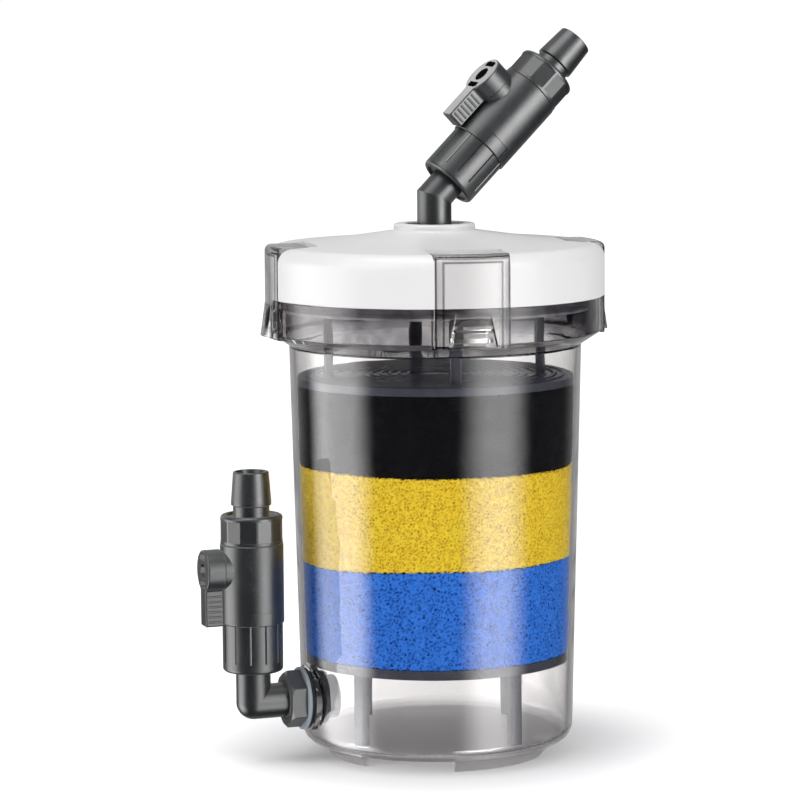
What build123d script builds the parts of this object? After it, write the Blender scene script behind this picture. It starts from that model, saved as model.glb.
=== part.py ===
from build123d import *
import os
from math import cos, radians, sin

# An external canister filter: a smoky clear barrel with three sponges between two grids, a white
# lid held down by four hinged clips, and two identical union ball valves on swivelling elbows.
# Millimetres. Origin: the canister's axis at the plane of its feet, +Z up, -Y the front.

GAP = 0.05  # radial and end clearance of turned pieces that meet

# Barrel
WALL = 2.5
WALL_R0 = 59.3  # outer radius of the drafted wall, carried down to z = 0
WALL_DRAFT = 0.0245  # growth of the radius per millimetre of height
FLOOR_UNDER = 5.7
FLOOR_TOP = 8.5
FLANGE_R = 72.3
FLANGE_IN_R = 67.0
POCKET_R = 69.5  # the flange's wall behind each clip
CONE_BOTTOM = 180.4
CONE_TOP = 186.0
RIM = 201.4
FOOT_SPAN = 71.0  # degrees
FOOT_START = 278.0  # azimuth where the first foot begins
FOOT_IN_R, FOOT_OUT_R, FOOT_TOP_R = 44.5, 47.5, 52.0

# Lid
LID_R = 74.0
LID_UNDER = 201.5
SHOULDER = 223.8
SHOULDER_ROUND = 6.5
COLLAR_R = 17.8
COLLAR_TOP = 232.8
WELL_R = 12.7  # the collar's bore, which holds the bush
WELL_FLOOR = 214.0
SPIGOT_BOTTOM = 196.0
SPIGOT_IN_R = 62.0

# Clips
CLIP_ANGLES = (-78.0, 12.0, 102.0, 192.0)
CLIP_WIDTH = 32.0
CLIP_THICK = 2.3
CLIP_BOTTOM = 184.5
CLIP_TOP = 224.2
HINGE_R = 57.5
HINGE_Z = 221.6
HINGE_BARREL_R = 2.3
HINGE_POCKET_R = 54.6  # inner wall of the lid's pocket, clear of the arm when it stands upright
TRUNNION_R = 1.4
TRUNNION_LENGTH = 1.8
SCOOP_TOP, SCOOP_BOTTOM = 199.6, 185.6

# Media and grids
BOTTOM_GRID = (42.0, 46.0)
BLUE = (46.1, 87.5)
YELLOW = (87.6, 129.0)
BLACK = (129.1, 163.5)
TOP_GRID = (163.6, 167.0)
TOP_LEGS_END = 195.8

# Inlet port through the wall
PORT_ANGLE = 200.0
PORT_Z = 27.5
PORT_BOSS_R = 14.2
PORT_FACE = 60.9  # distance of the boss's outer face from the canister's axis
PORT_INNER_FACE = 55.9
BULKHEAD_R = 8.4
BULKHEAD_BORE_R = 6.1
NUT_SEAT = 63.9
NUT_THICK = 6.9
NUT_ACROSS_FLATS = 22.0
INLET_AXIS = 85.0  # distance of the inlet valve's axis from the canister's

# Tubes
TUBE_R = 7.5
TUBE_BORE_R = 5.4
BEND_Z = 244.0  # the outlet elbow's corner
OUTLET_AZIMUTH = 21.0
OUTLET_RISE = 45.0
OUTLET_LEG = 8.1  # from the corner to the lower union nut
OUTLET_TURN = 5.0  # the outlet knob's turn from the vertical plane, towards the front
INLET_NUT_Z = 41.5

# Valve, along its own axis from the lower union nut's end
BODY = (21.2, 55.7)
BODY_R = 13.7
SPIGOT_R = 10.6
SPIGOTS = (6.2, 62.2)
KNOB_AT = 44.7
LOWER_NUT = (0.0, 21.15)
LOWER_NUT_R = 13.05
UPPER_NUT = (55.75, 68.3)
UPPER_NUT_R = 13.45
FLUTES = 12
BALL_R = 8.0
CAVITY_R = 8.6
CAVITY_BOTTOM = 36.2
PASSAGE_R = 5.5
STEM_R = 3.0
BOSS_R, BOSS_TOP = 8.6, 14.5
KNOB_R = 9.1
KNOB = (14.7, 22.1)
LEVER_END = 24.0
LEVER_WIDTH = 8.0
RIB_PITCH = 2.2
UNION_FLANGE_R = 10.2
TAIL_FLANGE = (63.65, 65.85)
TAIL_NECK_R = 7.85
TAIL_BORE_R = 6.2
FLARE_START, FLARE_LAND, TAIL_END = 72.5, 1.4, 86.8
FLARE_R, TIP_R = 8.7, 7.7


def turned(*corners):
    """Solid of revolution about Z. A corner is (radius, height) or (radius, height, rounding)."""
    points = [corner[:2] for corner in corners]
    rounding = [corner[2] if len(corner) > 2 else 0 for corner in corners]
    outline = FilletPolyline(*points, radius=rounding, close=True)
    return revolve(Plane.XZ * make_face(outline), Axis.Z)


def ring(inner, outer, low, high, rounding=0):
    """A plain or round-edged ring about Z."""
    return turned(
        (inner, low, rounding), (outer, low, rounding), (outer, high, rounding), (inner, high, rounding)
    )


def rod(radius, low, high):
    """A cylinder about Z."""
    return Pos(0, 0, low) * Cylinder(radius, high - low, align=(Align.CENTER, Align.CENTER, Align.MIN))


def block(x, y, z):
    """A box between two limits on each axis."""
    return Pos(x[0], y[0], z[0]) * Box(x[1] - x[0], y[1] - y[0], z[1] - z[0], align=(Align.MIN,) * 3)


def around(shape, angles):
    """Copies of a shape turned about Z, as one cutter or one group."""
    return [Rot(0, 0, angle) * shape for angle in angles]


def even(count, start=0.0):
    """Evenly spaced angles."""
    return [start + 360.0 * i / count for i in range(count)]


def wall_radius(z):
    """Outer radius of the barrel's drafted wall at height z."""
    return WALL_R0 + WALL_DRAFT * z


def direction(azimuth, rise=0.0):
    """Unit vector at an azimuth from +X and a rise above the floor, in degrees."""
    flat = cos(radians(rise))
    return Vector(flat * cos(radians(azimuth)), flat * sin(radians(azimuth)), sin(radians(rise)))


# Frames. Each valve's local Z runs from its lower nut to its hose tail, and local X is its knob's axis.
port_frame = Plane(origin=(0, 0, PORT_Z), x_dir=(0, 0, 1), z_dir=direction(PORT_ANGLE))
inlet_frame = Plane(
    origin=INLET_AXIS * direction(PORT_ANGLE) + Vector(0, 0, INLET_NUT_Z),
    x_dir=direction(PORT_ANGLE),
    z_dir=(0, 0, 1),
)
outlet_way = direction(OUTLET_AZIMUTH, OUTLET_RISE)
outlet_up = direction(OUTLET_AZIMUTH + 180, OUTLET_RISE)
outlet_side = outlet_way.cross(outlet_up)
outlet_frame = Plane(
    origin=Vector(0, 0, BEND_Z) + OUTLET_LEG * outlet_way,
    x_dir=cos(radians(OUTLET_TURN)) * outlet_up + sin(radians(OUTLET_TURN)) * outlet_side,
    z_dir=outlet_way,
)
knob_frame = Plane(origin=(0, 0, KNOB_AT), x_dir=(0, 0, -1), z_dir=(1, 0, 0))


def make_barrel():
    """The clear barrel with its floor, feet, drafted wall, flange, clip catches and port boss."""
    shell = turned(
        (0, FLOOR_UNDER),
        (wall_radius(FLOOR_UNDER), FLOOR_UNDER, 7.0),
        (wall_radius(CONE_BOTTOM), CONE_BOTTOM, 1.0),
        (FLANGE_R, CONE_TOP, 0.8),
        (FLANGE_R, RIM - 0.4),
        (FLANGE_R - 0.4, RIM),
        (FLANGE_IN_R + 0.4, RIM),
        (FLANGE_IN_R, RIM - 0.4),
        (FLANGE_IN_R, CONE_TOP - 1.0, 1.2),
        (wall_radius(CONE_BOTTOM) - WALL, CONE_BOTTOM - 0.4, 1.2),
        (wall_radius(FLOOR_TOP) - WALL, FLOOR_TOP, 4.0),
        (0, FLOOR_TOP),
    )
    foot_outline = Polyline(
        (FOOT_IN_R, 0), (FOOT_OUT_R, 0), (FOOT_TOP_R, FLOOR_UNDER + 0.5),
        (FOOT_IN_R, FLOOR_UNDER + 0.5), close=True,
    )
    foot = revolve(Plane.XZ * make_face(foot_outline), Axis.Z, revolution_arc=FOOT_SPAN)
    pocket = ring(POCKET_R, FLANGE_R + 5, CONE_BOTTOM - 2, RIM + 1) & block(
        (0, 90), (-CLIP_WIDTH / 2 - 0.6, CLIP_WIDTH / 2 + 0.6), (CONE_BOTTOM - 3, RIM + 2)
    )
    catch = turned(
        (POCKET_R - 0.2, 190.7), (71.3, 192.8), (71.3, 194.0), (POCKET_R - 0.2, 197.0)
    ) & block((0, 90), (-9, 9), (185, 200))
    boss = port_frame * rod(PORT_BOSS_R, PORT_INNER_FACE, PORT_FACE)
    hole = port_frame * rod(BULKHEAD_R + 2 * GAP, PORT_INNER_FACE - 5, PORT_FACE + 5)
    shape = shell + around(foot, even(3, FOOT_START))
    shape -= around(pocket, CLIP_ANGLES)
    shape += around(catch, CLIP_ANGLES)
    return shape + boss - hole


def make_bottom_grid():
    """The lower media support: a slotted disc on four legs."""
    low, high = BOTTOM_GRID
    radius = wall_radius(low) - WALL - 0.5
    leg = Pos(46, 0, 0) * extrude(RectangleRounded(4.0, 6.5, 1.2), low - FLOOR_TOP + 0.5)
    legs = around(Pos(0, 0, FLOOR_TOP) * leg, even(4, 45))
    return slotted_disc(radius, low, high, 5) + legs


def make_top_grid():
    """The upper media support: a disc with concentric ribs and slots, and four legs up to the lid."""
    low, high = TOP_GRID
    radius = wall_radius(low) - WALL - 0.4
    leg = Pos(47, 0, high - 0.5) * extrude(RectangleRounded(3.6, 5.5, 1.2), TOP_LEGS_END - high + 0.5)
    ribs = [ring(r - 0.5, r + 0.5, high - 0.5, high + 0.6) for r in range(8, 60, 4)]
    return slotted_disc(radius, low, high, 8, 12) + ribs + around(leg, even(4, 10))


def slotted_disc(radius, low, high, spokes, first=10):
    """A disc with rings of slots for the water, left whole along its spokes."""
    slots = []
    for i, r in enumerate(range(first, int(radius) - 4, 8)):
        slot = ring(r - 1.1, r + 1.1, low - 1, high + 1)
        for spoke in around(block((0, 80), (-2.2, 2.2), (low - 2, high + 2)), even(spokes, 10 * (i % 2))):
            slot -= spoke
        slots.append(slot)
    disc = turned((0, low), (radius, low), (radius, high), (0, high))
    for slot in slots:
        disc -= slot
    return disc


def make_sponge(low, high):
    """A foam disc that fills the drafted wall."""
    bottom_radius, top_radius = wall_radius(low) - WALL - 0.3, wall_radius(high) - WALL - 0.3
    return turned((0, low), (bottom_radius, low, 1.5), (top_radius, high, 1.5), (0, high))


def make_lid():
    """The white lid: skirt, rounded shoulder, shallow cone, collar, well and spigot, cut for clips."""
    shape = turned(
        (WELL_R, COLLAR_TOP, 0.6),
        (COLLAR_R, COLLAR_TOP, 1.2),
        (COLLAR_R, 229.8, 0.8),
        (42, 226.3, 60),
        (66.0, SHOULDER + 0.2, 6),
        (LID_R, SHOULDER, SHOULDER_ROUND),
        (LID_R, LID_UNDER, 0.5),
        (70.9, LID_UNDER),
        (70.9, 216.0, 0.8),
        (68.9, 216.0, 0.8),
        (68.9, LID_UNDER),
        (64.5, LID_UNDER),
        (64.5, SPIGOT_BOTTOM + 1.1),
        (66.6, SPIGOT_BOTTOM + 1.1),
        (66.6, SPIGOT_BOTTOM, 0.4),
        (SPIGOT_IN_R, SPIGOT_BOTTOM, 0.4),
        (SPIGOT_IN_R, 219.6, 2.0),
        (42, 223.2, 40),
        (COLLAR_R - 1, 225.6, 1.5),
        (COLLAR_R - 1, WELL_FLOOR - 3, 0.8),
        (TUBE_R + 2 * GAP, WELL_FLOOR - 3),
        (TUBE_R + 2 * GAP, WELL_FLOOR),
        (WELL_R, WELL_FLOOR),
    )
    half = CLIP_WIDTH / 2
    backing = ring(SPIGOT_IN_R - 9, 72, 215.5, 222.0) & block((0, 90), (-half - 4, half + 4), (210, 230))
    floor_r = LID_R - CLIP_THICK - 0.1
    recess = turned(
        (floor_r, 190), (90, 190), (90, 240), (30, 240), (30, CLIP_TOP - CLIP_THICK - 0.2),
        (floor_r, CLIP_TOP - CLIP_THICK - 0.2, 1.0),
    ) & block((HINGE_POCKET_R, 90), (-half - 0.3, half + 0.3), (180, 245))
    groove = block(
        (HINGE_POCKET_R, HINGE_R + HINGE_BARREL_R + 0.2),
        (-half - 0.3, half + 0.3),
        (HINGE_Z - HINGE_BARREL_R - 0.2, 230),
    )
    for angle in CLIP_ANGLES:
        turn = Rot(0, 0, angle)
        shape += turn * backing
        shape -= turn * recess
        shape -= turn * groove
        shape -= turn * hinge_pin(TRUNNION_R + 0.08, CLIP_WIDTH + 2 * TRUNNION_LENGTH + 0.4)
    return shape


def hinge_pin(radius, length):
    """A cylinder on the clip's hinge axis."""
    return Pos(HINGE_R, 0, HINGE_Z) * Rot(90, 0, 0) * Cylinder(radius, length)


def make_clip():
    """A clear clip at azimuth 0: hinge, arm over the lid, plate, catch lip and thumb scoop."""
    inner = LID_R - CLIP_THICK
    half = CLIP_WIDTH / 2
    arm_low = CLIP_TOP - CLIP_THICK
    sheet = turned(
        (40, arm_low), (inner, arm_low, 0.6), (inner, CLIP_BOTTOM, 0.5), (LID_R, CLIP_BOTTOM, 0.8),
        (LID_R, CLIP_TOP, 2.6), (40, CLIP_TOP),
    )
    bar = sheet & block((HINGE_R, 90), (-half, half), (170, 240))
    lip = turned((inner + 0.1, 186.9), (69.8, 188.8), (69.8, 190.9), (inner + 0.1, 192.8)) & block(
        (0, 90), (-8.6, 8.6), (180, 200)
    )
    hinge = hinge_pin(HINGE_BARREL_R, CLIP_WIDTH) + hinge_pin(TRUNNION_R, CLIP_WIDTH + 2 * TRUNNION_LENGTH)
    return bar + hinge + lip + make_scoop()


def make_scoop():
    """The flared half-cone hood on the clip's plate, open below for a thumb."""

    def hood(shrink, top, bottom):
        sections = []
        for height, width, depth in ((top, 15.0, 0.9), (bottom, 21.0, 3.1)):
            oval = Ellipse(depth - shrink, width / 2 - shrink)
            sections.append(Plane(origin=(LID_R - 0.3, 0, height), z_dir=(0, 0, 1)) * oval)
        return loft(sections)

    outer = hood(0.0, SCOOP_TOP, SCOOP_BOTTOM)
    hollow = hood(0.8, SCOOP_TOP - 1.2, SCOOP_BOTTOM - 0.4)
    front = block((LID_R - 1.0, 90), (-20, 20), (180, 205))
    open_side = block((LID_R + 0.02, 90), (-20, 20), (180, 205))
    return (outer & front) - (hollow & open_side)


def make_lid_seal():
    """The black lip seal in the lid's spigot, with two beads."""
    low, high = SPIGOT_BOTTOM + 1.2, LID_UNDER - GAP
    bore = FLANGE_IN_R - GAP
    return turned(
        (64.55, low), (66.5, low, 0.2), (bore, low + 0.9, 0.3), (66.5, low + 1.8, 0.2),
        (66.5, high - 1.9, 0.2), (bore, high - 1.0, 0.3), (66.5, high - 0.1, 0.05), (64.55, high - 0.1),
    )


def make_bulkhead():
    """The port's threaded fitting: an inner flange and snout, and a tube out through the wall."""
    end = NUT_SEAT + NUT_THICK
    return turned(
        (BULKHEAD_BORE_R, 47.5, 0.4),
        (9.4, 47.5, 0.6),
        (9.4, 51.8, 0.4),
        (11.5, 51.8, 0.4),
        (11.5, PORT_INNER_FACE - 1.6, 0.4),
        (BULKHEAD_R, PORT_INNER_FACE - 1.6),
        (BULKHEAD_R, end - 0.1, 0.5),
        (BULKHEAD_BORE_R, end - 0.1, 0.3),
    )


def make_hex_nut():
    """The port's hex nut, chamfered, with a notch at each corner."""
    hexagon = RegularPolygon(NUT_ACROSS_FLATS / 2, 6, major_radius=False)
    blank = Pos(0, 0, NUT_SEAT + GAP) * extrude(hexagon, NUT_THICK - 2 * GAP)
    corner = NUT_ACROSS_FLATS / 3**0.5
    low, high = NUT_SEAT + GAP, NUT_SEAT + NUT_THICK - GAP
    blank &= turned(
        (0, low), (corner - 0.3, low), (corner - 0.1, low + 0.3), (corner - 0.1, high - 1.1),
        (corner - 1.4, high), (0, high),
    )
    notch = Pos(corner + 0.1, 0, high - 2.4) * Box(1.6, 2.2, 3.0)
    return blank - rod(BULKHEAD_R + GAP, low - 1, high + 1) - around(notch, even(6, 30))


def elbow_end(flange_start):
    """The union end of an elbow, about Z, up to its flange's face."""
    low = flange_start + 2.1
    return turned(
        (0, flange_start - 1), (TUBE_R, flange_start - 1), (TUBE_R, low),
        (UNION_FLANGE_R, low, 0.3), (UNION_FLANGE_R, low + 2.5, 0.3), (0, low + 2.5),
    )


def make_outlet_elbow():
    """The 45 degree elbow: a tube down through the lid with a retaining flange, and a union flange."""
    bottom = WELL_FLOOR - 6.5
    mitre = Plane(origin=(0, 0, BEND_Z), z_dir=(Vector(0, 0, 1) + outlet_way).normalized())
    sloped = outlet_frame * elbow_end(LOWER_NUT[0])

    def limbs(radius, end):
        lower = rod(radius, bottom, BEND_Z + 12)
        upper = outlet_frame * rod(radius, -OUTLET_LEG - 12, end)
        return split(lower, mitre, keep=Keep.BOTTOM) + split(upper, mitre, keep=Keep.TOP)

    catch = WELL_FLOOR - 3.1
    retainer = turned((0, bottom), (8.6, bottom, 0.3), (9.4, bottom + 2.0), (9.4, catch), (0, catch))
    passage = limbs(TUBE_BORE_R, 6.0)
    inlet_mouth = rod(TUBE_BORE_R, bottom - 1, bottom + 2)
    return limbs(TUBE_R, 0.0) + sloped + retainer - passage - inlet_mouth


def make_inlet_elbow():
    """The 90 degree elbow: a spigot in the bulkhead, a leg out, a round corner and a union flange."""
    shoulder = NUT_SEAT + NUT_THICK + 2 * GAP
    corner = INLET_AXIS * direction(PORT_ANGLE) + Vector(0, 0, PORT_Z)
    rise = INLET_NUT_Z - PORT_Z
    radius = BULKHEAD_BORE_R - GAP
    spigot = turned(
        (0, 57.0), (radius, 57.0, 0.5), (radius, 60.4), (4.9, 60.4), (4.9, 62.6), (radius, 62.6),
        (radius, shoulder), (0, shoulder),
    )
    leg = turned(
        (0, shoulder - 1.0), (5.5, shoulder - 1.0), (5.5, shoulder), (TUBE_R, shoulder, 0.4),
        (TUBE_R, INLET_AXIS), (0, INLET_AXIS),
    )
    riser = inlet_frame * rod(TUBE_R, -rise, 0.0)
    outside = port_frame * (spigot + leg) + corner_ball(corner, TUBE_R) + riser
    outside += inlet_frame * elbow_end(LOWER_NUT[0])
    bore_r = 4.2
    inside = port_frame * rod(bore_r, 50, INLET_AXIS) + corner_ball(corner, bore_r)
    inside += inlet_frame * rod(bore_r, -rise, 8)
    return outside - inside


def corner_ball(corner, radius):
    """A ball at the inlet elbow's corner. Its poles and seam lie inside the tubes that it joins."""
    frame = Plane(origin=corner, x_dir=direction(PORT_ANGLE + 180, 45.0), z_dir=direction(PORT_ANGLE, 45.0))
    return frame * Sphere(radius)


def make_elbow_o_ring():
    """The O-ring on the inlet elbow's spigot."""
    section = Pos(5.49, 61.5) * Circle(0.53)
    return revolve(Plane.XZ * section, Axis.Z)


def make_valve_body():
    """The valve's body with both male union spigots, ball cavity, stem boss and a marked tab."""
    shell = turned(
        (PASSAGE_R + 0.5, SPIGOTS[0], 0.3),
        (SPIGOT_R, SPIGOTS[0], 0.5),
        (SPIGOT_R, BODY[0]),
        (BODY_R, BODY[0], 0.4),
        (BODY_R, BODY[1], 0.4),
        (SPIGOT_R, BODY[1]),
        (SPIGOT_R, SPIGOTS[1], 0.5),
        (CAVITY_R, SPIGOTS[1]),
        (CAVITY_R, CAVITY_BOTTOM),
        (PASSAGE_R + 0.5, CAVITY_BOTTOM),
    )
    boss = knob_frame * (turned((0, 9), (BOSS_R, 9), (BOSS_R, BOSS_TOP, 0.4), (0, BOSS_TOP)))
    stem_hole = knob_frame * (rod(STEM_R + 2 * GAP, 5, BOSS_TOP + 1) + rod(4.6, 10.4, BOSS_TOP + 1))
    tab_low, tab_high, tab_half = BODY[0] + 0.2, BODY[0] + 6.0, 5.2
    outline = block((-tab_half, tab_half), (10, 20), (tab_low - 3, tab_high)) - block(
        (-tab_half + 0.6, tab_half - 0.6), (9, 21), (tab_low - 4, tab_high - 0.6)
    )
    engraving = outline & ring(BODY_R - 0.35, BODY_R + 1, BODY[0] - 1, BODY[1])
    return shell + boss - rod(CAVITY_R, CAVITY_BOTTOM, BODY[1]) - stem_hole - engraving


def make_seats():
    """Two ring seats, hollowed to the ball."""
    ball = Pos(0, 0, KNOB_AT) * Sphere(BALL_R + GAP)
    reach = BALL_R + 0.4
    lower = ring(PASSAGE_R + 0.1, CAVITY_R - GAP, CAVITY_BOTTOM + GAP, KNOB_AT - reach + 3.2) - ball
    upper = ring(PASSAGE_R + 0.1, CAVITY_R - GAP, KNOB_AT + reach - 3.2, KNOB_AT + reach) - ball
    return [lower, upper]


def make_seat_carrier():
    """The ring that holds the seats and ball in the body."""
    return ring(PASSAGE_R + 0.5, CAVITY_R - GAP, KNOB_AT + BALL_R + 0.45, SPIGOTS[1], 0.2)


def make_ball():
    """The bored ball, slotted for the stem's tang."""
    ball = Pos(0, 0, KNOB_AT) * Sphere(BALL_R) - rod(PASSAGE_R, KNOB_AT - 10, KNOB_AT + 10)
    slot = knob_frame * block((-5, 5), (-1.3, 1.3), (6.2, 9))
    return ball - slot


def make_stem():
    """The stem with its tang in the ball's slot and its head in the knob."""
    shaft = turned((0, 8.1), (STEM_R, 8.1), (STEM_R, 18.0, 0.4), (0, 18.0))
    tang = block((-2.6, 2.6), (-1.2, 1.2), (6.3, 8.5))
    flats = [block((-4, 4), side, (BOSS_TOP + 0.1, 19.0)) for side in ((2.2, 4.0), (-4.0, -2.2))]
    return knob_frame * (shaft + tang - flats)


def make_stem_seal():
    """The rubber ring around the stem in the boss."""
    return knob_frame * ring(STEM_R + 2 * GAP, 4.55, 10.5, 13.0, 0.5)


def make_handle():
    """The knob and its ribbed lever, which lies along the valve when it is open."""
    low, high = KNOB
    half = LEVER_WIDTH / 2
    lever = Pos(LEVER_END / 2, 0) * Rectangle(LEVER_END, LEVER_WIDTH)
    plan = Circle(KNOB_R) + lever
    plan = fillet(plan.vertices().sort_by(Axis.X)[-2:], 1.0)
    plan = fillet([v for v in plan.vertices() if 5 < v.X < 12], 1.6)
    solid = extrude(plan, high - low)
    solid = fillet(solid.faces().sort_by(Axis.Z)[-1].outer_wire().edges(), 0.6)
    solid = Pos(0, 0, low) * solid
    rib = Cylinder(0.5, high - low - 1.6, align=(Align.CENTER, Align.CENTER, Align.MIN))
    for i in range(6):
        x = LEVER_END - 2.2 - i * RIB_PITCH
        solid += [Pos(x, side * (half - 0.1), low + 0.4) * rib for side in (-1, 1)]
    well = rod(3.5, 17.2, high + 1)
    socket = rod(STEM_R + GAP, low - 1, 18) - [
        block((-4, 4), side, (low - 2, 19)) for side in ((2.2 + GAP, 4.0), (-4.0, -2.2 - GAP))
    ]
    slots = [
        block(x, (-3.85, 3.85), (high - 4.5, high + 1)) & rod(KNOB_R - 1.4, low, high + 2)
        for x in ((4.6, 7.4), (-7.4, -4.6))
    ]
    underside = ring(5.4, KNOB_R - 1.2, low - 1, low + 2.0) & block((-10, 6.0), (-10, 10), (low - 2, high))
    return knob_frame * (solid - well - socket - slots - underside)


def make_lower_nut():
    """The lower union nut, with long narrow grooves and a recessed end."""
    low, high = LOWER_NUT
    shape = turned(
        (TUBE_R + 2 * GAP, low + 1.2),
        (10.6, low + 1.2),
        (10.9, low, 0.3),
        (LOWER_NUT_R, low, 1.6),
        (LOWER_NUT_R, high, 0.3),
        (SPIGOT_R + 2 * GAP, high),
        (SPIGOT_R + 2 * GAP, low + 2.05),
        (TUBE_R + 2 * GAP, low + 2.05),
    )
    groove = Pos(LOWER_NUT_R + 0.35, 0, low + 4.5) * Rot(0, 0, 45) * Box(
        1.1, 1.1, high - low, align=(Align.CENTER, Align.CENTER, Align.MIN)
    )
    return shape - around(groove, even(FLUTES, 8))


def make_upper_nut():
    """The upper union nut, with flat panels between narrow ridges and a recessed top."""
    low, high = UPPER_NUT
    shape = turned(
        (SPIGOT_R + 2 * GAP, low),
        (UPPER_NUT_R, low, 0.3),
        (UPPER_NUT_R, high, 1.5),
        (10.9, high, 0.3),
        (10.6, TAIL_FLANGE[1] + 1.2),
        (TAIL_NECK_R + 2 * GAP, TAIL_FLANGE[1] + 1.2),
        (TAIL_NECK_R + 2 * GAP, TAIL_FLANGE[1] + GAP),
        (SPIGOT_R + 2 * GAP, TAIL_FLANGE[1] + GAP),
    )
    flat = block((UPPER_NUT_R - 0.42, 20), (-3.0, 3.0), (low + 1.4, high - 2.0))
    return shape - around(flat, even(FLUTES, 8))


def make_union_gaskets():
    """Two flat rubber rings, one at each union."""
    lower = ring(PASSAGE_R + 0.7, UNION_FLANGE_R, LOWER_NUT[0] + 4.65, SPIGOTS[0] - GAP)
    upper = ring(PASSAGE_R + 0.7, UNION_FLANGE_R, SPIGOTS[1] + GAP, TAIL_FLANGE[0] - GAP)
    return [lower, upper]


def make_tail():
    """The hose tail: flange, neck and a flared cone, widest where the hose grips."""
    return turned(
        (TAIL_BORE_R, TAIL_FLANGE[0]),
        (UNION_FLANGE_R, TAIL_FLANGE[0], 0.3),
        (UNION_FLANGE_R, TAIL_FLANGE[1], 0.3),
        (TAIL_NECK_R, TAIL_FLANGE[1]),
        (TAIL_NECK_R, FLARE_START - 0.5, 0.3),
        (FLARE_R, FLARE_START),
        (FLARE_R, FLARE_START + FLARE_LAND),
        (TIP_R, TAIL_END, 0.5),
        (TAIL_BORE_R + 0.5, TAIL_END),
        (TAIL_BORE_R, TAIL_END - 1.5),
    )


def valve_pieces(name, frame):
    """Every piece of one valve, by node name, placed in its frame."""
    pieces = {
        "valve_body": make_valve_body(),
        "ball_seats": make_seats(),
        "seat_carrier": make_seat_carrier(),
        "ball": make_ball(),
        "valve_stem": make_stem(),
        "stem_seal": make_stem_seal(),
        "valve_handle": make_handle(),
        "lower_union_nut": make_lower_nut(),
        "upper_union_nut": make_upper_nut(),
        "union_gaskets": make_union_gaskets(),
        "hose_tail": make_tail(),
    }
    return {f"{name}_{key}": placed(frame, shape) for key, shape in pieces.items()}


def placed(frame, shape):
    """A shape, or each shape of a group, moved into a frame."""
    if isinstance(shape, list):
        return Compound([solid for item in shape for solid in (frame * item).solids()])
    return frame * shape


parts = {
    "barrel": make_barrel(),
    "bottom_grid": make_bottom_grid(),
    "blue_sponge": make_sponge(*BLUE),
    "yellow_sponge": make_sponge(*YELLOW),
    "black_sponge": make_sponge(*BLACK),
    "top_grid": make_top_grid(),
    "port_bulkhead": port_frame * make_bulkhead(),
    "port_inner_gasket": port_frame * ring(
        BULKHEAD_R + GAP, 11.5, PORT_INNER_FACE - 1.55, PORT_INNER_FACE - GAP
    ),
    "port_outer_gasket": port_frame * ring(BULKHEAD_R + GAP, 13.2, PORT_FACE + GAP, PORT_FACE + 1.5, 0.2),
    "port_washer": port_frame * ring(BULKHEAD_R + GAP, 13.65, PORT_FACE + 1.55, NUT_SEAT, 0.3),
    "port_hex_nut": port_frame * make_hex_nut(),
    "inlet_elbow": make_inlet_elbow(),
    "inlet_elbow_o_ring": port_frame * make_elbow_o_ring(),
    "lid": make_lid(),
    "lid_seal": make_lid_seal(),
    "outlet_bush": turned(
        (TUBE_R + GAP, WELL_FLOOR + 3.1), (WELL_R - GAP, WELL_FLOOR + 3.1), (WELL_R - GAP, 231.3, 0.6),
        (TUBE_R + 1.6, 231.3, 0.4), (TUBE_R + GAP, 230.2),
    ),
    "outlet_elbow_seal": ring(TUBE_R + GAP, WELL_R - GAP, WELL_FLOOR + GAP, WELL_FLOOR + 3.0, 0.6),
    "outlet_elbow": make_outlet_elbow(),
    **valve_pieces("inlet", inlet_frame),
    **valve_pieces("outlet", outlet_frame),
}
for number, angle in enumerate(CLIP_ANGLES, 1):
    parts[f"clip_{number}"] = Rot(0, 0, angle) * make_clip()

os.makedirs("parts", exist_ok=True)
for name, shape in parts.items():
    export_step(shape, f"parts/{name}.step")
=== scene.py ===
import math

import bpy
import numpy as np
from mathutils import Euler, Matrix, Vector


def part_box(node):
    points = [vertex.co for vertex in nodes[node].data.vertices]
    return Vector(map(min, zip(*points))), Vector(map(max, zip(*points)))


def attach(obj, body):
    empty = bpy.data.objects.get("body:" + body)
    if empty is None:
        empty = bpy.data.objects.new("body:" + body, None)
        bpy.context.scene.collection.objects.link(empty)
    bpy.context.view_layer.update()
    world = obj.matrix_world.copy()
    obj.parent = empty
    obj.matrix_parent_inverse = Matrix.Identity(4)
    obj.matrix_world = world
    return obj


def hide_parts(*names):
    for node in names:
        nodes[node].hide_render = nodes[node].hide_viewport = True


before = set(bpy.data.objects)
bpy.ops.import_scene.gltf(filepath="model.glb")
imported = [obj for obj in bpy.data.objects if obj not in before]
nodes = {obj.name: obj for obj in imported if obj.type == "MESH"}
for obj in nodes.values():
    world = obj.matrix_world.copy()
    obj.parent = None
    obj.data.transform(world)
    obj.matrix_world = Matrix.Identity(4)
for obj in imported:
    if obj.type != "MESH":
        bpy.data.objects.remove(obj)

bpy.context.view_layer.update()


# Node trees

def add(tree, kind, sockets=(), **settings):
    """A shader node with its settings, and its inputs given as {name or number: value or output}."""
    node = tree.nodes.new(kind)
    for name, value in settings.items():
        setattr(node, name, value)
    for key, value in dict(sockets).items():
        socket = node.inputs[key]
        if isinstance(value, bpy.types.NodeSocket):
            tree.links.new(value, socket)
        elif socket.type == "RGBA" and len(value) == 3:
            socket.default_value = (*value, 1.0)
        else:
            socket.default_value = value
    return node


def maths(tree, operation, *values, clamp=False):
    """The output of a Math node."""
    node = add(tree, "ShaderNodeMath", dict(enumerate(values)), operation=operation, use_clamp=clamp)
    return node.outputs[0]


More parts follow.
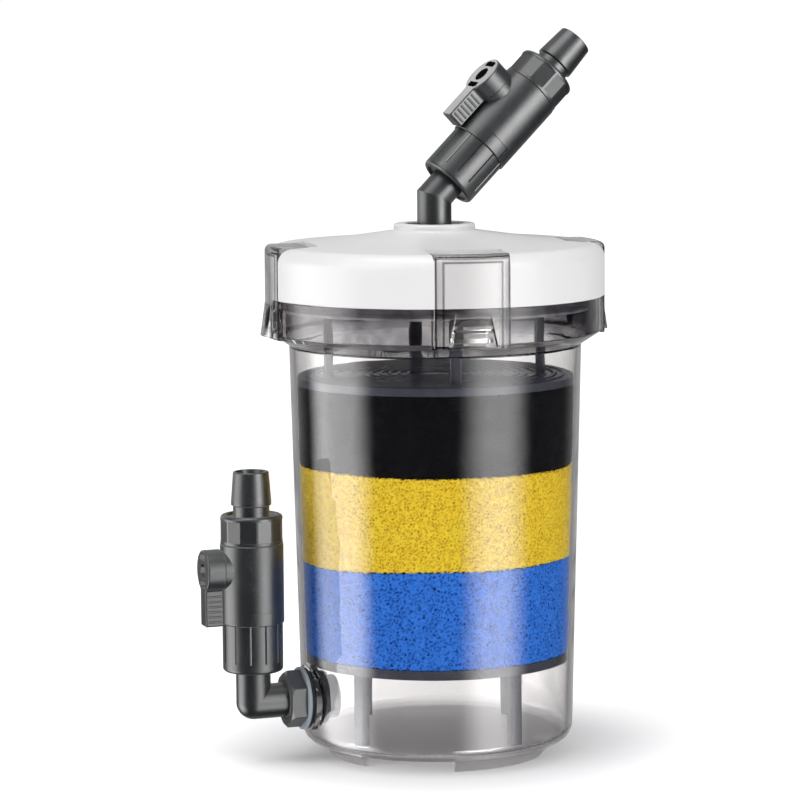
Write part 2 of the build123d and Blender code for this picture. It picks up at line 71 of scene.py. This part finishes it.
def spread(tree, value, low, high, to_low, to_high, kind="LINEAR"):
    """A value moved from one range to another, and held there."""
    sockets = {"Value": value, "From Min": low, "From Max": high, "To Min": to_low, "To Max": to_high}
    return add(tree, "ShaderNodeMapRange", sockets, interpolation_type=kind).outputs["Result"]


def blend_colours(tree, factor, first, second):
    """Two colours mixed by a factor."""
    node = add(tree, "ShaderNodeMix", {0: factor}, data_type="RGBA")
    for socket, value in ((node.inputs[6], first), (node.inputs[7], second)):
        if isinstance(value, bpy.types.NodeSocket):
            tree.links.new(value, socket)
        else:
            socket.default_value = (*value, 1.0)
    return node.outputs[2]


def new_material(name):
    """An empty node material, its tree and the object's own coordinates in metres."""
    material = bpy.data.materials.new(name)
    material.use_nodes = True
    tree = material.node_tree
    tree.nodes.clear()
    where = add(tree, "ShaderNodeTexCoord").outputs["Object"]
    return material, tree, where


def noise(tree, where, per_metre, detail=2.0, roughness=0.5, distortion=0.0):
    """A noise value between 0 and 1 at a scale given in features per metre."""
    sockets = {
        "Vector": where, "Scale": per_metre, "Detail": detail, "Roughness": roughness,
        "Distortion": distortion,
    }
    return add(tree, "ShaderNodeTexNoise", sockets).outputs["Fac"]


def bump(tree, height, depth, strength=1.0, normal=None):
    """A normal from a height, which depth in metres scales."""
    sockets = {"Height": height, "Distance": depth, "Strength": strength}
    if normal is not None:
        sockets["Normal"] = normal
    return add(tree, "ShaderNodeBump", sockets).outputs["Normal"]


def finish_material(tree, shader, volume=None):
    """Wires a shader to the material's output."""
    out = add(tree, "ShaderNodeOutputMaterial", {"Surface": shader})
    if volume is not None:
        tree.links.new(volume, out.inputs["Volume"])


# Materials

def moulded(name, colour, roughness, grain, depth, blotch=0.12, specular=0.5, subsurface=0.0,
            unevenness=0.00012, polish=0.04):
    """Injection-moulded plastic: fine grain, soft flow marks and slightly uneven gloss."""
    material, tree, where = new_material(name)
    flow = noise(tree, where, 55.0, 3.0, 0.55, 0.6)
    fine = noise(tree, where, grain, 3.0, 0.6)
    dust = noise(tree, where, 900.0, 2.0, 0.7)
    darker = tuple(c * (1.0 - blotch) for c in colour)
    lighter = tuple(min(c * (1.0 + blotch), 1.0) for c in colour)
    base = blend_colours(tree, spread(tree, flow, 0.32, 0.68, 0.0, 1.0), darker, lighter)
    base = blend_colours(tree, spread(tree, dust, 0.62, 0.80, 0.0, 0.10), base, (0.62, 0.62, 0.62))
    gloss = maths(tree, "ADD", spread(tree, flow, 0.3, 0.7, roughness - polish, roughness + polish),
                  spread(tree, fine, 0.3, 0.7, -polish / 2, polish / 2))
    surface = {
        "Base Color": base, "Roughness": gloss, "Specular IOR Level": specular,
        "Normal": bump(tree, fine, depth, 0.6, bump(tree, flow, unevenness, 0.35)),
    }
    if subsurface:
        surface.update({"Subsurface Weight": subsurface, "Subsurface Radius": (1.0, 0.9, 0.8),
                        "Subsurface Scale": 0.0015})
    shader = add(tree, "ShaderNodeBsdfPrincipled", surface)
    finish_material(tree, shader.outputs[0])
    return material


def clear(name, tint, absorbed, roughness, waviness, shade=None):
    """Clear moulded plastic. Lamps and light from what is inside pass straight through it. shade
    gives the painted shade in its colour, which changes from place to place."""
    material, tree, where = new_material(name)
    flow = noise(tree, where, 26.0, 2.0, 0.5, 0.4)
    haze = noise(tree, where, 420.0, 3.0, 0.6)
    rough = spread(tree, haze, 0.35, 0.75, roughness, roughness + 0.03)
    faint = blend_colours(tree, spread(tree, flow, 0.3, 0.7, 0.0, 1.0), tint,
                          tuple(c * 0.97 for c in tint))
    if shade:
        faint, rough = shade(tree, where, faint, rough)
    glass = add(tree, "ShaderNodeBsdfPrincipled", {
        "Base Color": faint, "Roughness": rough, "IOR": 1.49, "Transmission Weight": 1.0,
        "Normal": bump(tree, flow, waviness, 0.5),
    })
    straight = add(tree, "ShaderNodeBsdfTransparent", {"Color": tuple(c**0.5 for c in tint)})
    path = add(tree, "ShaderNodeLightPath").outputs
    inner = maths(tree, "MAXIMUM", path["Is Shadow Ray"], path["Is Diffuse Ray"])
    shader = add(tree, "ShaderNodeMixShader", {0: inner, 1: glass.outputs[0], 2: straight.outputs[0]})
    density = max(absorbed)
    volume = add(tree, "ShaderNodeVolumeAbsorption", {
        "Color": tuple(1.0 - a / density * 0.999 for a in absorbed), "Density": density,
    })
    finish_material(tree, shader.outputs[0], volume.outputs[0])
    return material


def flange_shade(tree, where, colour, rough):
    """The barrel's flange band is darkened with painted shade in streaks, and its floor is frosted."""
    z = add(tree, "ShaderNodeSeparateXYZ", {0: where}).outputs[2]
    # Painted shade: above FLANGE_LOW the colour turns to a streaky dark grey.
    shaded_band = spread(tree, z, FLANGE_LOW, FLANGE_LOW + 0.006, 0.0, 1.0, "SMOOTHSTEP")
    streaks = noise(tree, where, 60.0, 2.0, 0.5, 0.8)
    dark = blend_colours(tree, spread(tree, streaks, 0.35, 0.65, 0.0, 1.0), (0.19, 0.19, 0.21),
                         (0.55, 0.53, 0.52))
    frosted = spread(tree, z, FLOOR_HIGH, FLOOR_HIGH + 0.001, 1.0, 0.0)
    rough = maths(tree, "ADD", rough, maths(tree, "MULTIPLY", frosted, 0.30))
    return blend_colours(tree, shaded_band, colour, dark), rough


def clip_shade(tree, where, colour, rough):
    """Painted shade: dark lines on either side of a paler core stand in for the shade and dark
    reflections at a clip's thick border. The part of the clip that lies on top of the lid, nearer the
    axis, has none."""
    turned = add(tree, "ShaderNodeVectorRotate", {"Vector": where, "Angle": -CLIP_AZIMUTH},
                 rotation_type="Z_AXIS").outputs[0]
    x, y, z = add(tree, "ShaderNodeSeparateXYZ", {0: turned}).outputs
    across = maths(tree, "MINIMUM", maths(tree, "ABSOLUTE", x), maths(tree, "ABSOLUTE", y))
    inward = maths(tree, "SUBTRACT", CLIP_HALF, across)
    inward = maths(tree, "MINIMUM", inward, maths(tree, "SUBTRACT", CLIP_HIGH, z))
    # Painted shade: a dark line along the clip's edge and one along the inner side of its border.
    outer = spread(tree, inward, SHADE_LINE_WIDTH / 3, SHADE_LINE_WIDTH, 1.0, 0.0, "SMOOTHSTEP")
    inner = spread(tree, maths(tree, "ABSOLUTE", maths(tree, "SUBTRACT", inward, CLIP_BORDER)),
                   SHADE_LINE_WIDTH / 6, SHADE_LINE_WIDTH / 1.5, 0.9, 0.0, "SMOOTHSTEP")
    # Painted shade: the border band between the lines is a little darker as well.
    core = spread(tree, inward, CLIP_BORDER - SHADE_LINE_WIDTH / 4, CLIP_BORDER, 0.15, 0.0)
    dark = maths(tree, "MAXIMUM", maths(tree, "MAXIMUM", outer, inner), core)
    flat = add(tree, "ShaderNodeVectorMath", {0: where, 1: (1.0, 1.0, 0.0)}, operation="MULTIPLY")
    radius = add(tree, "ShaderNodeVectorMath", {0: flat.outputs[0]}, operation="LENGTH").outputs["Value"]
    dark = maths(tree, "MULTIPLY", dark, spread(tree, radius, CLIP_INNER, CLIP_OUTER, 0.0, 1.0))
    return blend_colours(tree, dark, colour, (0.02, 0.02, 0.025)), rough


def rubber(name, colour, roughness=0.62):
    """Matt rubber with a faint bloom."""
    material, tree, where = new_material(name)
    bloom = noise(tree, where, 160.0, 4.0, 0.6, 0.5)
    fine = noise(tree, where, 2600.0, 2.0)
    base = blend_colours(tree, spread(tree, bloom, 0.45, 0.75, 0.0, 0.5), colour,
                         tuple(c + 0.03 for c in colour))
    rough = spread(tree, bloom, 0.3, 0.7, roughness - 0.08, roughness + 0.1)
    shader = add(tree, "ShaderNodeBsdfPrincipled", {
        "Base Color": base, "Roughness": rough, "Specular IOR Level": 0.35,
        "Normal": bump(tree, fine, 0.00004, 0.7),
    })
    finish_material(tree, shader.outputs[0])
    return material


def foam(name, colour, pit_shade, pores):
    """Open-cell foam: the pits made in the mesh and the finer cells drawn between them are darkened with
    painted shade.
    """
    material, tree, where = new_material(name)
    pit = add(tree, "ShaderNodeAttribute", attribute_name="pit").outputs["Fac"]
    cells = add(tree, "ShaderNodeTexVoronoi", {"Vector": where, "Scale": pores}).outputs["Distance"]
    holes = spread(tree, cells, 0.15, 0.55, 1.0, 0.0)
    patches = noise(tree, where, 90.0, 3.0, 0.6)
    # Painted shade: the mesh's pits and the drawn pores turn towards the darker colour.
    depth = maths(tree, "ADD", maths(tree, "MULTIPLY", spread(tree, pit, 0.1, 0.75, 0.0, 1.0), 0.6),
                  maths(tree, "MULTIPLY", holes, 0.5), clamp=True)
    base = blend_colours(tree, depth, colour, pit_shade)
    pale = tuple(min(c * 1.25 + 0.02, 1.0) for c in colour)
    base = blend_colours(tree, spread(tree, patches, 0.5, 0.8, 0.0, 0.25), base, pale)
    shader = add(tree, "ShaderNodeBsdfPrincipled", {
        "Base Color": base, "Roughness": 0.9, "Specular IOR Level": 0.1,
        "Normal": bump(tree, maths(tree, "SUBTRACT", 1.0, holes), 0.0004, 0.8),
    })
    finish_material(tree, shader.outputs[0])
    return material


FLANGE_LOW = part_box("top_grid")[1].z - 0.015
FLOOR_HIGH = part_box("bottom_grid")[0].z + 0.0003
CLIP_AZIMUTH = math.radians(12)
CLIP_HALF = 0.016
CLIP_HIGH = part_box("clip_1")[1].z
CLIP_BORDER = 0.0034
CLIP_INNER, CLIP_OUTER = 0.0727, 0.0736
# Width of the painted shade lines along the clips' borders.
SHADE_LINE_WIDTH = 0.0012

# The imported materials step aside, so that each finish can take its slot's name
imported = {slot.material for node in nodes.values() for slot in node.material_slots}
for material in imported:
    material.name = "packed_" + material.name
finishes = {
    "smoky_clear": clear("smoky_clear", (0.925, 0.912, 0.905), (14.0, 15.0, 13.0), 0.020, 0.0006,
                         flange_shade),
    "clear_plastic": clear("clear_plastic", (0.97, 0.965, 0.96), (16.0, 17.0, 17.0), 0.012,
                           0.0004, clip_shade),
    "white_plastic": moulded("white_plastic", (0.70, 0.69, 0.70), 0.30, 1500.0, 0.00001, 0.008,
                             subsurface=0.15, unevenness=0.00001, polish=0.012),
    "charcoal_plastic": moulded("charcoal_plastic", (0.0105, 0.0118, 0.013), 0.34, 1800.0, 0.00004,
                                0.15, specular=0.85),
    "dark_plastic": moulded("dark_plastic", (0.056, 0.060, 0.080), 0.24, 1500.0, 0.00003, 0.15),
    "black_rubber": rubber("black_rubber", (0.012, 0.012, 0.013)),
    "grey_silicone": rubber("grey_silicone", (0.23, 0.23, 0.24), 0.5),
    "pale_washer": rubber("pale_washer", (0.30, 0.34, 0.38), 0.45),
    "white_seat": moulded("white_seat", (0.80, 0.80, 0.78), 0.28, 1500.0, 0.00001, 0.02),
    # Each foam's third colour is the painted shade in its pits and pores.
    "blue_foam": foam("blue_foam", (0.040, 0.225, 0.860), (0.0005, 0.016, 0.200), 820.0),
    "yellow_foam": foam("yellow_foam", (0.990, 0.730, 0.045), (0.520, 0.230, 0.002), 900.0),
    "black_foam": foam("black_foam", (0.0022, 0.0024, 0.0045), (0.0005, 0.0005, 0.0008), 1000.0),
}
for node in nodes.values():
    for slot in node.material_slots:
        slot.material = finishes[slot.material.name.removeprefix("packed_")]
nodes["lid_seal"].material_slots[0].material = finishes["grey_silicone"]


# Sponges

DRAFT = 0.0245
EDGE_ROUND = 0.0012
CAP_INSETS = (0.0018, 0.006, 0.020, 0.040)


def worley(across, along, around_cells, rng):
    """Distances to the nearest and second nearest of one jittered point in each cell, and the
    nearest cell's random number. The pattern closes on itself across."""
    rows = int(along.max()) + 4
    jitter = rng.random((around_cells, rows, 3))
    column = np.floor(across).astype(int)
    row = np.floor(along).astype(int) + 1
    first = np.full(across.shape, 9.0)
    second = np.full(across.shape, 9.0)
    chance = np.zeros(across.shape)
    for i in (-1, 0, 1):
        for j in (-1, 0, 1):
            point = jitter[(column + i) % around_cells, np.clip(row + j, 0, rows - 1)]
            far = np.hypot(column + i + point[..., 0] - across, row + j - 1 + point[..., 1] - along)
            nearer = far < first
            second = np.where(nearer, first, np.minimum(second, far))
            chance = np.where(nearer, point[..., 2], chance)
            first = np.where(nearer, far, first)
    return first, second, chance


def wavy(angle, size, turn):
    """A boundary between two sponges, as cut and pressed by hand."""
    slow = np.sin(angle + turn) + 0.55 * np.sin(2 * angle - turn)
    return size * (slow + 0.3 * np.sin(5 * angle + 2 * turn))


def sponge(name, node, cell, grid, depth, waves, seed):
    """A foam disc with real pits in its side, filling the place of its CAD solid. cell is the size of
    a pore and grid that of the mesh, and waves says how its lower and upper faces undulate."""
    low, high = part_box(node)
    rng = np.random.default_rng(seed)
    top_radius = high.x
    height = high.z - low.z
    turns = int(2 * math.pi * top_radius / grid)
    rows = int(height / grid)
    angle = np.linspace(0, 2 * math.pi, turns, endpoint=False)[None, :].repeat(rows + 1, 0)
    level = np.linspace(0, 1, rows + 1)[:, None].repeat(turns, 1)
    around_cells = int(2 * math.pi * top_radius / cell)
    first, second, chance = worley(angle / (2 * math.pi) * around_cells, level * height / cell,
                                   around_cells, rng)
    pit = np.clip((second - first) * 1.9 - 0.25, 0, 1) * (0.45 + 0.55 * chance)
    edge = np.minimum(level, 1 - level) * height
    rounding = EDGE_ROUND * np.clip(1 - edge / EDGE_ROUND, 0, 1) ** 2
    radius = top_radius - DRAFT * (1 - level) * height - depth * pit - rounding * 0.5
    ragged = (pit - 0.3) * depth * 1.3 + 0.0004 * np.sin(angle * 97 + 3 * np.sin(angle * 23))
    bottom_wave, top_wave = (wavy(angle, *wave) for wave in waves)
    z = low.z + level * height + (1 - level) * bottom_wave + level * top_wave
    z += np.where(level == 0, ragged, 0) - np.where(level == 1, ragged, 0)
    side = np.stack([radius * np.cos(angle), radius * np.sin(angle), z], -1)
    caps = []
    for row, toward in ((0, -1), (rows, 1)):
        for inset in CAP_INSETS:
            ring = side[row].copy()
            ring[:, :2] *= ((radius[row] - inset) / radius[row])[:, None]
            ring[:, 2] -= toward * 0.0002
            caps.append(ring)
    points = np.concatenate([side.reshape(-1, 3), *caps])
    centres = np.array([[0, 0, side[0, :, 2].mean()], [0, 0, side[rows, :, 2].mean()]])
    points = np.concatenate([points, centres])
    here = np.arange(turns)
    beside = (here + 1) % turns

    def strip(start, end):
        """Quads between two rings of points."""
        return np.stack([start + here, start + beside, end + beside, end + here], -1)

    quads = [strip(r * turns, (r + 1) * turns) for r in range(rows)]
    cap = (rows + 1) * turns
    rings = len(CAP_INSETS)
    lower = [0, *(cap + k * turns for k in range(rings))]
    upper = [rows * turns, *(cap + (rings + k) * turns for k in range(rings))]
    quads += [strip(b, a) for a, b in zip(lower, lower[1:])]
    quads += [strip(a, b) for a, b in zip(upper, upper[1:])]
    tip = len(points) - 2
    fans = [np.stack([lower[-1] + beside, lower[-1] + here, np.full(turns, tip)], -1),
            np.stack([upper[-1] + here, upper[-1] + beside, np.full(turns, tip + 1)], -1)]
    mesh = bpy.data.meshes.new(name)
    faces = [*np.concatenate(quads).tolist(), *np.concatenate(fans).tolist()]
    mesh.from_pydata(points.tolist(), [], faces)
    mesh.shade_smooth()
    pits = mesh.attributes.new("pit", "FLOAT", "POINT")
    values = np.zeros(len(points), np.float32)
    values[: pit.size] = pit.ravel()
    pits.data.foreach_set("value", values)
    piece = bpy.data.objects.new(name, mesh)
    bpy.context.scene.collection.objects.link(piece)
    slot = nodes[node].material_slots[0].material.name
    mesh.materials.append(finishes[slot])
    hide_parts(node)
    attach(piece, "canister")


level_face, seam_mid, seam_top = (0.0, 0.0), (0.0009, 1.9), (0.0006, 0.4)
sponge("blue_foam_disc", "blue_sponge", 0.0016, 0.00052, 0.0007, (level_face, seam_mid), 11)
sponge("yellow_foam_disc", "yellow_sponge", 0.0013, 0.00046, 0.0006, (seam_mid, seam_top), 12)
sponge("black_foam_disc", "black_sponge", 0.0011, 0.00060, 0.0004, (seam_top, level_face), 13)


# Studio: a pale floor that glows a little, soft lamps, and a world with two tall soft boxes

FLOOR_HALF = 40.0
VIEW_FROM = (-0.0155, -1.481, 0.329)
VIEW_DOWN = math.radians(6.69)
VIEW_ROLL = math.radians(-0.42)
VIEW_LENS = 153.4
GLOW_UNDER, GLOW_NEAR, GLOW_FAR = 0.09, 0.36, 0.74


def mirrored(tree):
    """1 for a ray that has been mirrored on its way from the camera, and 0 for any other."""
    path = add(tree, "ShaderNodeLightPath").outputs
    return maths(tree, "GREATER_THAN", path["Glossy Depth"], 0.5)


def make_floor():
    """A pale floor that fills the view. Its painted glow is weakest under the vessel, where it stays
    shaded.
    """
    mesh = bpy.data.meshes.new("floor")
    corners = [(FLOOR_HALF * x, FLOOR_HALF * y, 0) for x, y in ((-1, -1), (1, -1), (1, 1), (-1, 1))]
    mesh.from_pydata(corners, [], [(0, 1, 2, 3)])
    floor = bpy.data.objects.new("floor", mesh)
    bpy.context.scene.collection.objects.link(floor)
    material, tree, where = new_material("floor")
    shade = noise(tree, where, 6.0, 3.0)
    base = blend_colours(tree, shade, (0.90, 0.90, 0.90), (0.93, 0.93, 0.93))
    shader = add(tree, "ShaderNodeBsdfDiffuse", {"Color": base})
    away = add(tree, "ShaderNodeVectorMath", {0: where}, operation="LENGTH").outputs["Value"]
    # Painted light: the glow is low under the vessel, leaving it shaded, and rises outward.
    near = spread(tree, away, 0.06, 0.13, GLOW_UNDER, GLOW_NEAR, "SMOOTHSTEP")
    far = spread(tree, away, 0.3, 2.5, 0.0, GLOW_FAR - GLOW_NEAR, "SMOOTHSTEP")
    glow = maths(tree, "ADD", near, far)
    glow = add(tree, "ShaderNodeEmission", {"Color": (1.0, 1.0, 1.0), "Strength": glow})
    lit = add(tree, "ShaderNodeAddShader", {0: shader.outputs[0], 1: glow.outputs[0]}).outputs[0]
    gone = add(tree, "ShaderNodeBsdfTransparent").outputs[0]
    shown = add(tree, "ShaderNodeMixShader", {0: mirrored(tree), 1: lit, 2: gone})
    finish_material(tree, shown.outputs[0])
    mesh.materials.append(material)


def soft_box(tree, azimuth, angle, half_width, softness, strength):
    """Light from a tall band of the studio's wall, fading at its edges. Angles are in degrees, from
    the camera's side and positive to the right."""
    away = maths(tree, "ABSOLUTE", maths(tree, "SUBTRACT", azimuth, math.radians(angle)))
    edge = spread(tree, away, math.radians(half_width - softness), math.radians(half_width + softness),
                  1.0, 0.0, "SMOOTHSTEP")
    return maths(tree, "MULTIPLY", edge, strength)


def make_world():
    """A dark studio with two tall soft boxes, a pale ceiling and a faint glow behind. It is plain white
    where the camera looks past the floor."""
    world = bpy.data.worlds.new("studio")
    bpy.context.scene.world = world
    world.use_nodes = True
    tree = world.node_tree
    tree.nodes.clear()
    way = add(tree, "ShaderNodeTexCoord").outputs["Generated"]
    x, y, z = add(tree, "ShaderNodeSeparateXYZ", {0: way}).outputs
    azimuth = maths(tree, "ARCTAN2", x, maths(tree, "MULTIPLY", y, -1.0))
    left = soft_box(tree, azimuth, -87, 25, 12, 3.9)
    right = soft_box(tree, azimuth, 50, 20, 15, 3.2)
    boxes = maths(tree, "ADD", left, right)
    boxes = maths(tree, "MULTIPLY", boxes, spread(tree, z, -0.27, -0.17, 1.5, 1.02))
    tall = maths(tree, "MULTIPLY", spread(tree, z, -0.85, -0.60, 0.0, 1.0, "SMOOTHSTEP"),
                 spread(tree, z, 0.05, 0.30, 1.0, 0.0, "SMOOTHSTEP"))
    boxes = maths(tree, "MULTIPLY", boxes, tall)
    ceiling = spread(tree, z, 0.20, 0.85, 0.0, 0.45, "SMOOTHSTEP")
    behind = spread(tree, maths(tree, "ABSOLUTE", azimuth), math.radians(125), math.radians(165),
                    0.0, 0.42)
    light = maths(tree, "ADD", maths(tree, "ADD", boxes, ceiling), maths(tree, "ADD", behind, 0.03))
    path = add(tree, "ShaderNodeLightPath").outputs
    direct = maths(tree, "MAXIMUM", path["Is Camera Ray"], path["Is Transmission Ray"])
    direct = maths(tree, "MULTIPLY", direct, maths(tree, "SUBTRACT", 1.0, mirrored(tree)))
    seen = add(tree, "ShaderNodeMix", {0: direct, 2: light, 3: 1.0}).outputs[0]
    back = add(tree, "ShaderNodeBackground", {"Color": (1.0, 1.0, 1.0), "Strength": seen})
    add(tree, "ShaderNodeOutputWorld", {"Surface": back.outputs[0]})


def make_lamp(name, place, aim, size, watts, only=None):
    """A square soft lamp aimed at a point, hidden from the camera. only limits it to some objects."""
    data = bpy.data.lights.new(name, "AREA")
    data.shape = "SQUARE"
    data.size = size
    data.energy = watts
    lamp = bpy.data.objects.new(name, data)
    lamp.location = place
    lamp.rotation_euler = (Vector(aim) - Vector(place)).to_track_quat("-Z", "Y").to_euler()
    lamp.visible_camera = False
    bpy.context.scene.collection.objects.link(lamp)
    if only:
        lit = bpy.data.collections.new(name + "_lights")
        for thing in only:
            lit.objects.link(thing)
        lamp.light_linking.receiver_collection = lit


def make_camera():
    """The camera in front and a little above, looking slightly down."""
    data = bpy.data.cameras.new("camera")
    data.sensor_width = 36.0
    data.lens = VIEW_LENS
    data.clip_end = 200.0
    camera = bpy.data.objects.new("camera", data)
    camera.location = VIEW_FROM
    tilt = Euler((math.pi / 2 - VIEW_DOWN, 0, 0)).to_matrix()
    camera.rotation_euler = (tilt @ Matrix.Rotation(VIEW_ROLL, 3, "Z")).to_euler()
    bpy.context.scene.collection.objects.link(camera)
    bpy.context.scene.camera = camera


# The barrel's side would mirror the inlet valve as a dark shape over the sponges
for name, node in nodes.items():
    if name.startswith("inlet_"):
        node.visible_glossy = False

make_floor()
make_world()
make_lamp("key", (-1.25, -0.95, 1.0), (0, 0, 0.12), 1.1, 8.6)
make_lamp("fill", (1.3, -0.9, 0.9), (0, 0, 0.12), 0.9, 10.5)
make_lamp("top", (-0.3, -0.3, 1.6), (0, 0, 0.2), 1.0, 10.5)
charcoal = [node for node in nodes.values()
            if node.material_slots[0].material.name == "charcoal_plastic"]
make_lamp("rim_left", (-0.75, 0.65, 0.35), (-0.05, 0, 0.2), 0.7, 1.5, charcoal)
make_lamp("rim_right", (0.85, -0.75, 0.30), (-0.03, 0, 0.2), 0.6, 6.0, charcoal)
make_lamp("knob", (-0.42, 0.76, 0.78), (0.01, 0.0, 0.30), 0.6, 3.0, [nodes["outlet_valve_handle"]])
make_camera()
bpy.context.scene.view_settings.view_transform = "Standard"
